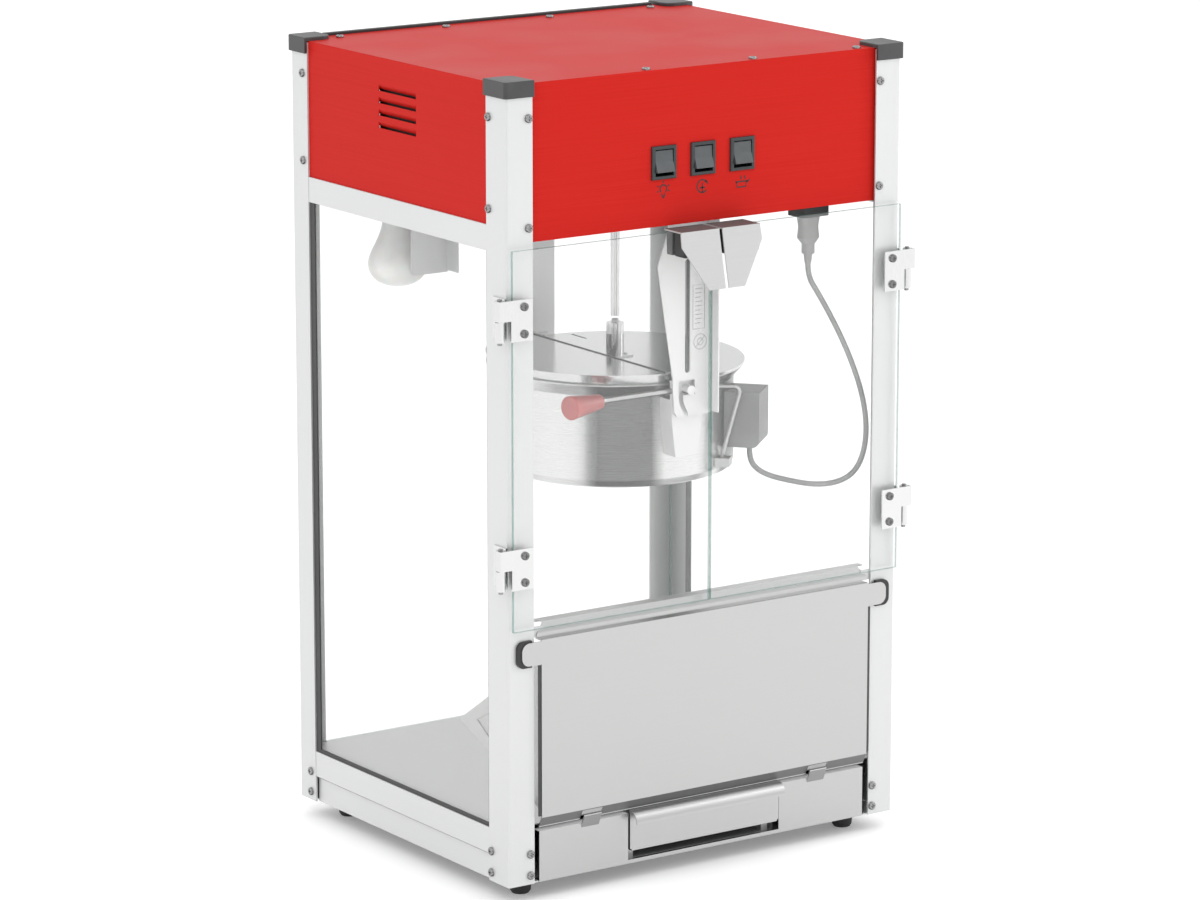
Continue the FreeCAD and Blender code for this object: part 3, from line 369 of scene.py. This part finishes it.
def arc(x, z, radius, start=0.0, end=360.0, steps=24):
    """Points on a circle's arc, in degrees from +X towards +Z."""
    angles = [math.radians(start + (end - start) * i / steps) for i in range(steps + 1)]
    return [(x + radius * math.cos(a), z + radius * math.sin(a)) for a in angles]


def ribbons(lines, width, place):
    """Flat strips of a given width along 2D lines; place turns (u, v) into a point."""
    points, faces = [], []
    for line in lines:
        first = len(points)
        for i, (u, v) in enumerate(line):
            before = line[max(i - 1, 0)]
            after = line[min(i + 1, len(line) - 1)]
            along = Vector((after[0] - before[0], after[1] - before[1])).normalized()
            side = Vector((-along.y, along.x)) * width / 2
            points.append(place(u + side.x, v + side.y))
            points.append(place(u - side.x, v - side.y))
        for i in range(len(line) - 1):
            a = first + 2 * i
            faces.append((a, a + 1, a + 3, a + 2))
    return points, faces


# ---------------------------------------------------------------------- cord
CORD_DIAMETER = 0.006
CORD_ROUTE = [           # listed from the kettle's terminal box to the plug, measured from CENTRE
    (0.1175, -0.1225, 0.4080),
    (0.1175, -0.1225, 0.3950),
    (0.1235, -0.1256, 0.3835),
    (0.1365, -0.1316, 0.3750),
    (0.1570, -0.1395, 0.3685),
    (0.1830, -0.1490, 0.3620),
    (0.2060, -0.1580, 0.3625),
    (0.2220, -0.1660, 0.3705),
    (0.2315, -0.1705, 0.3860),
    (0.2360, -0.1730, 0.4080),
    (0.2355, -0.1735, 0.4340),
    (0.2310, -0.1710, 0.4620),
    (0.2230, -0.1675, 0.4890),
    (0.2120, -0.1630, 0.5180),
    (0.1980, -0.1575, 0.5480),
    (0.1840, -0.1528, 0.5740),
    (0.1730, -0.1500, 0.5920),
    (0.1730, -0.1500, 0.6060),
]


def route_curve(name, bevel):
    """A smooth curve along the route, bare or as a round tube."""
    data = bpy.data.curves.new(name, "CURVE")
    data.dimensions = "3D"
    spline = data.splines.new("NURBS")
    spline.points.add(len(CORD_ROUTE) - 1)
    for point, place in zip(spline.points, CORD_ROUTE):
        point.co = (*(CENTRE + Vector(place)), 1.0)
    spline.order_u = 3
    spline.use_endpoint_u = True
    spline.resolution_u = 6
    data.bevel_depth = bevel
    data.bevel_resolution = 4
    curve = bpy.data.objects.new(name, data)
    SCENE.collection.objects.link(curve)
    return curve


def curve_mesh(curve):
    """The curve's mesh; the curve itself is taken away."""
    bpy.context.view_layer.update()
    mesh = bpy.data.meshes.new_from_object(curve)
    bpy.data.objects.remove(curve)
    return mesh


def make_cord(materials):
    """The kettle's cord: one tube from the kettle's terminal box to its plug, in place of the hidden CAD
    cord.
    """
    line = curve_mesh(route_curve("cord_line", 0.0))
    mesh = curve_mesh(route_curve("cord_tube", CORD_DIAMETER / 2))
    mesh.shade_smooth()
    mesh.materials.clear()
    mesh.materials.append(materials["cord_rubber"])
    cord = bpy.data.objects.new("kettle_flex", mesh)
    SCENE.collection.objects.link(cord)
    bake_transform(cord)
    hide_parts("kettle_cord")


# ------------------------------------------------------------ printed marks
PRINT_GAP = 0.15 * MM    # from a printed mark to the face behind it
MARK_UNIT = 1.6 * MM     # one unit of the pictograms' outlines
MARK_DROP = 12 * MM      # from the switches' bezels down to the pictograms' middles
ARM_TOP_FOLD = 24 * MM   # the fold at the arm's top, behind its plate
ARM_SHEET = 1.5 * MM
LABEL_SIDES = (23 * MM, 8 * MM)      # in from the arm's right edge
LABEL_ENDS = (92 * MM, 139 * MM)     # up from the arm's foot
LABEL_ROWS = 9
LABEL_ROW_STEP = 4.6 * MM
SIGN_INSET = 13.5 * MM   # in from the arm's right edge
SIGN_RISE = 78 * MM      # up from the arm's foot
SIGN_RADIUS = 8.2 * MM


def lamp_outline():
    """A bulb with its cap and five rays."""
    lines = [arc(0, 1.2, 2.6, -50, 230), [(-1.2, -1.6), (-1.2, -3.4), (1.2, -3.4), (1.2, -1.6)],
             [(-0.9, -4.4), (0.9, -4.4)]]
    for angle in (-20, 25, 90, 155, 200):
        across, up = math.cos(math.radians(angle)), math.sin(math.radians(angle))
        lines.append([(3.8 * across, 1.2 + 3.8 * up), (5.2 * across, 1.2 + 5.2 * up)])
    return lines


def stir_outline():
    """A turning arrow round a cross."""
    return [arc(0, 0, 4.2, 40, 320), [(1.4, 2.6), (3.4, 2.9), (4.4, 1.0)], [(0, -4.2), (0, 2.0)],
            [(-2.2, -1.0), (2.2, -1.0)]]


def kettle_outline():
    """A pan with its lid line, its handle and two wisps of heat."""
    return [[(-4, 0), (-3.4, -3.6), (3.4, -3.6), (4, 0)], [(-5, 0), (5, 0)], [(4.4, -0.6), (6.4, 0.8)],
            arc(-1.6, 2.6, 1.2, -60, 60, 8), arc(1.6, 2.6, 1.2, -60, 60, 8)]


def switch_marks():
    """A small pictogram under each switch: a lamp, a stirring arrow and a hot kettle."""
    ink = moulded("mark_ink", (0.05, 0.004, 0.004), 0.5)
    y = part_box("canopy_front")[0].y - PRINT_GAP
    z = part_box("switch_bezels")[0].z - MARK_DROP
    for name, lines in (("lamp", lamp_outline()), ("motor", stir_outline()), ("kettle", kettle_outline())):
        low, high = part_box("rocker_" + name)
        x = (low.x + high.x) / 2
        points, faces = ribbons(lines, 1.0, lambda u, v: (x + u * MARK_UNIT, y, z + v * MARK_UNIT))
        add_mesh("mark_" + name, points, faces, ink, "cabinet")


def arm_label():
    """A printed panel and a keep-off sign on the front hanger arm."""
    ink = moulded("label_ink", grey(0.3), 0.5)
    low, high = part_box("arm_front")
    face = high.y - ARM_TOP_FOLD - ARM_SHEET - PRINT_GAP
    x0, x1 = (high.x - inset for inset in LABEL_SIDES)
    z0, z1 = (low.z + rise for rise in LABEL_ENDS)
    lines = [[(x0, z0), (x1, z0), (x1, z1), (x0, z1), (x0, z0)]]
    for row in range(LABEL_ROWS):
        z = z1 - 4 * MM - LABEL_ROW_STEP * row
        lines.append([(x0 + 3 * MM, z), (x1 - (3 + row % 3) * MM, z)])
    middle, sign_z = high.x - SIGN_INSET, low.z + SIGN_RISE
    reach = SIGN_RADIUS * math.sqrt(0.5)
    lines.append(arc(middle, sign_z, SIGN_RADIUS))
    lines.append([(middle - reach, sign_z - reach), (middle + reach, sign_z + reach)])
    lines.append(arc(middle, sign_z, SIGN_RADIUS * 0.45))
    points, faces = ribbons(lines, 0.7 * MM, lambda u, v: (u, face, v))
    add_mesh("arm_label", points, faces, ink, "cabinet")


# --------------------------------------------------------- painted shade: plates and strips
SHADE_PLATE_INSET = 6.5 * MM          # in from the canopy side's outer face
SHADE_PLATE_HALF_DEPTH = 44 * MM
SHADE_PLATE_ENDS = (80 * MM, 20 * MM)     # down from the canopy side's top
GAP_SHADE_X = 211.6 * MM              # the panel's edge, from the middle
GAP_SHADE_WIDTH = 3 * MM
GAP_SHADE_DEPTHS = (0.8 * MM, 2.6 * MM)   # behind the panel's face
GAP_SHADE_ENDS = (14 * MM, 176 * MM)      # up from the panel's foot
SEAM_SHADE_INSET = 11 * MM              # from the knuckles' far side to the seam's strip of painted shade
SEAM_SHADE_HALF_LENGTH = 131 * MM


def slab(name, low, high, material, body):
    """A plain box between two corners."""
    points = [(x, y, z) for x in (low[0], high[0]) for y in (low[1], high[1]) for z in (low[2], high[2])]
    faces = [(0, 1, 3, 2), (4, 6, 7, 5), (0, 4, 5, 1), (2, 3, 7, 6), (0, 2, 6, 4), (1, 5, 7, 3)]
    return add_mesh(name, points, faces, material, body)


def louvre_shade_plates(materials):
    """A dark plate behind the louvres on each side of the canopy: painted shade inside the slots."""
    side_low, side_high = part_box("canopy_sides")
    z0, z1 = (side_high.z - drop for drop in SHADE_PLATE_ENDS)
    # painted shade: a black plate behind each group of louvre slots
    for name, x in (("left", side_low.x + SHADE_PLATE_INSET), ("right", side_high.x - SHADE_PLATE_INSET - MM)):
        slab("louvre_shade_plate_" + name, (x, CENTRE.y - SHADE_PLATE_HALF_DEPTH, z0),
             (x + MM, CENTRE.y + SHADE_PLATE_HALF_DEPTH, z1), materials["black_trim"], "cabinet")


def panel_gap_shades(materials):
    """A dark strip down each side of the tilt-out panel: painted shade in its gaps beside the posts."""
    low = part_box("front_panel")[0]
    y0, y1 = (low.y + depth for depth in GAP_SHADE_DEPTHS)
    z0, z1 = (low.z + rise for rise in GAP_SHADE_ENDS)
    # painted shade: dark strips where the gaps beside the posts are shaded
    for name, x in (("left", -GAP_SHADE_X - GAP_SHADE_WIDTH), ("right", GAP_SHADE_X)):
        slab("panel_gap_shade_" + name, (x, y0, z0), (x + GAP_SHADE_WIDTH, y1, z1), materials["gasket"],
             "tilt_panel")


def flap_seam_shade(materials):
    """The dark line where the lid's loose half meets the fixed half: a strip of painted shade along the
    seam.
    """
    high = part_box("lid_flap")[1]
    x = high.x - SEAM_SHADE_INSET
    slab("flap_seam_shade", (x, CENTRE.y - SEAM_SHADE_HALF_LENGTH, high.z - 0.4 * MM),
         (x + 1.2 * MM, CENTRE.y + SEAM_SHADE_HALF_LENGTH, high.z + 0.9 * MM), materials["gasket"], "flap")


# --------------------------------------------------------------------- floor
FLOOR_HALF = 30.0


def make_floor():
    data = bpy.data.meshes.new("floor")
    corners = [(-1, -1), (1, -1), (1, 1), (-1, 1)]
    data.from_pydata([(x * FLOOR_HALF, y * FLOOR_HALF, 0) for x, y in corners], [], [(0, 1, 2, 3)])
    m = Nodes("floor", roughness=0.7, specular_ior_level=0.1, emission_strength=0.2)
    m.shader.inputs["Emission Color"].default_value = (1, 1, 1, 1)
    cloud = m.noise((2, 2, 2), detail=3.0)
    m.set("Base Color", m.ramp(cloud, grey(0.93), grey(0.95), 0.3, 0.7))
    data.materials.append(m.material)
    floor = bpy.data.objects.new("floor", data)
    SCENE.collection.objects.link(floor)


# -------------------------------------------------------------------- lights
LIGHTS = (               # name, place, size and power
    ("key", (-2.6, -2.2, 3.0), (2.2, 2.2), 30),
    ("side", (2.8, -1.6, 1.8), (1.2, 2.4), 25),
)
LIGHTS_AIM = (0, 0, 0.45)
SKY = 1.1                # brightness overhead
SKY_FADE = (0.15, 0.55)  # sine of the elevation where the cards start and end turning into sky
ROOM = (                 # brightness round the horizon; 0 and 1 are -Y, 0.25 is -X, 0.5 is +Y
    (0.0, 1.0),
    (0.04, 0.75),
    (0.09, 0.3),
    (0.205, 0.3),
    (0.262, 1.05),
    (0.34, 1.2),
    (0.5, 0.95),
    (0.75, 0.85),
    (0.92, 0.95),
    (1.0, 1.0),
)


def area_light(name, place, size, power):
    data = bpy.data.lights.new(name, "AREA")
    data.shape = "RECTANGLE"
    data.size, data.size_y = size
    data.energy = power
    light = bpy.data.objects.new(name, data)
    SCENE.collection.objects.link(light)
    light.location = place
    light.rotation_euler = (Vector(LIGHTS_AIM) - Vector(place)).to_track_quat("-Z", "Y").to_euler()


def make_world():
    """White to the camera; bright cards and dark gaps round the horizon in reflections."""
    world = bpy.data.worlds.new("studio")
    SCENE.world = world
    world.use_nodes = True
    tree = world.node_tree
    white = tree.nodes["Background"]
    white.inputs["Color"].default_value = (1, 1, 1, 1)
    white.inputs["Strength"].default_value = 1.0
    room = tree.nodes.new("ShaderNodeBackground")
    split = tree.nodes.new("ShaderNodeSeparateXYZ")
    tree.links.new(tree.nodes.new("ShaderNodeTexCoord").outputs["Generated"], split.inputs[0])
    angle = tree.nodes.new("ShaderNodeMath")
    angle.operation = "ARCTAN2"
    tree.links.new(split.outputs[0], angle.inputs[0])
    tree.links.new(split.outputs[1], angle.inputs[1])
    turn = tree.nodes.new("ShaderNodeMapRange")
    turn.inputs["From Min"].default_value = -math.pi
    turn.inputs["From Max"].default_value = math.pi
    tree.links.new(angle.outputs[0], turn.inputs[0])
    cards = tree.nodes.new("ShaderNodeValToRGB")
    cards.color_ramp.interpolation = "EASE"
    ramp = cards.color_ramp.elements
    for element, (position, level) in zip(ramp, (ROOM[0], ROOM[-1])):
        element.position = position
        element.color = (*grey(level), 1)
    for position, level in ROOM[1:-1]:
        ramp.new(position).color = (*grey(level), 1)
    tree.links.new(turn.outputs[0], cards.inputs[0])
    height = tree.nodes.new("ShaderNodeMapRange")
    height.inputs["From Min"].default_value = SKY_FADE[0]
    height.inputs["From Max"].default_value = SKY_FADE[1]
    tree.links.new(split.outputs[2], height.inputs[0])
    above = tree.nodes.new("ShaderNodeMix")
    above.data_type = "RGBA"
    tree.links.new(height.outputs[0], above.inputs[0])
    tree.links.new(cards.outputs[0], above.inputs[6])
    above.inputs[7].default_value = (*grey(SKY), 1)
    tree.links.new(above.outputs[2], room.inputs["Color"])
    seen = tree.nodes.new("ShaderNodeLightPath").outputs["Is Camera Ray"]
    mix = tree.nodes.new("ShaderNodeMixShader")
    tree.links.new(seen, mix.inputs[0])
    tree.links.new(room.outputs[0], mix.inputs[1])
    tree.links.new(white.outputs[0], mix.inputs[2])
    tree.links.new(mix.outputs[0], tree.nodes["World Output"].inputs[0])


def make_lights():
    make_world()
    for light in LIGHTS:
        area_light(*light)
    SCENE.view_settings.view_transform = "Standard"


# ---------------------------------------------------------------------- main
make_camera()
MATERIALS = make_materials()
make_cord(MATERIALS)
dress(MATERIALS)
switch_marks()
arm_label()
louvre_shade_plates(MATERIALS)
panel_gap_shades(MATERIALS)
flap_seam_shade(MATERIALS)
make_floor()
make_lights()
